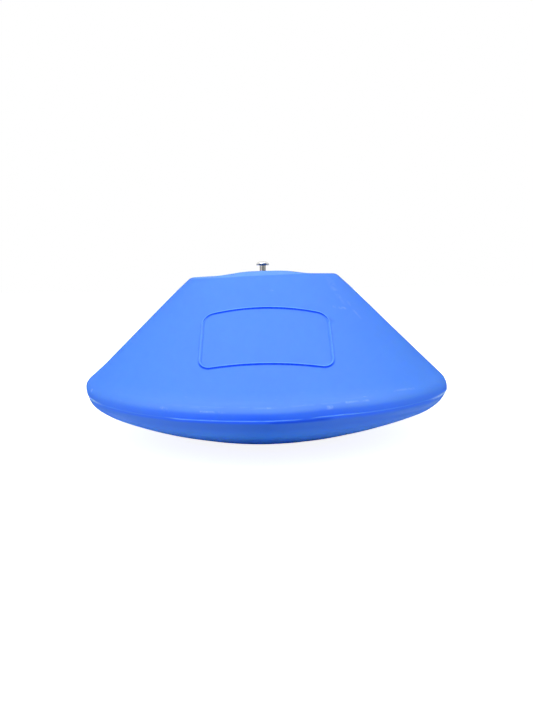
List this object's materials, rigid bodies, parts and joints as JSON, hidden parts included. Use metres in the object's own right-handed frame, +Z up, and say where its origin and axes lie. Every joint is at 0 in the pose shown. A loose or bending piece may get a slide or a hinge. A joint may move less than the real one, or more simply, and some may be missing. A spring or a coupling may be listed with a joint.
{
  "type": "net float",
  "caption": "Cone-shaped hollow moulded net float with a shallow domed underside, a raised panel frame and a headed stud in its crown.",
  "frame": {"origin": "middle of the flat foot that the float rests on", "axes": "+Z up along the body's axis through the stud; the raised panel frame faces -Y"},
  "size_m": [0.3574, 0.3574, 0.1704],
  "materials": {
    "body_plastic": "semi-matte moulded polyethylene, saturated blue, lightly scuffed",
    "stud_steel": "polished stainless steel",
    "insert_brass": "turned brass"
  },
  "bodies": {
    "root": {"float_body": "body_plastic", "headed_stud": "stud_steel", "threaded_insert": "insert_brass"}
  },
  "joints": []
}
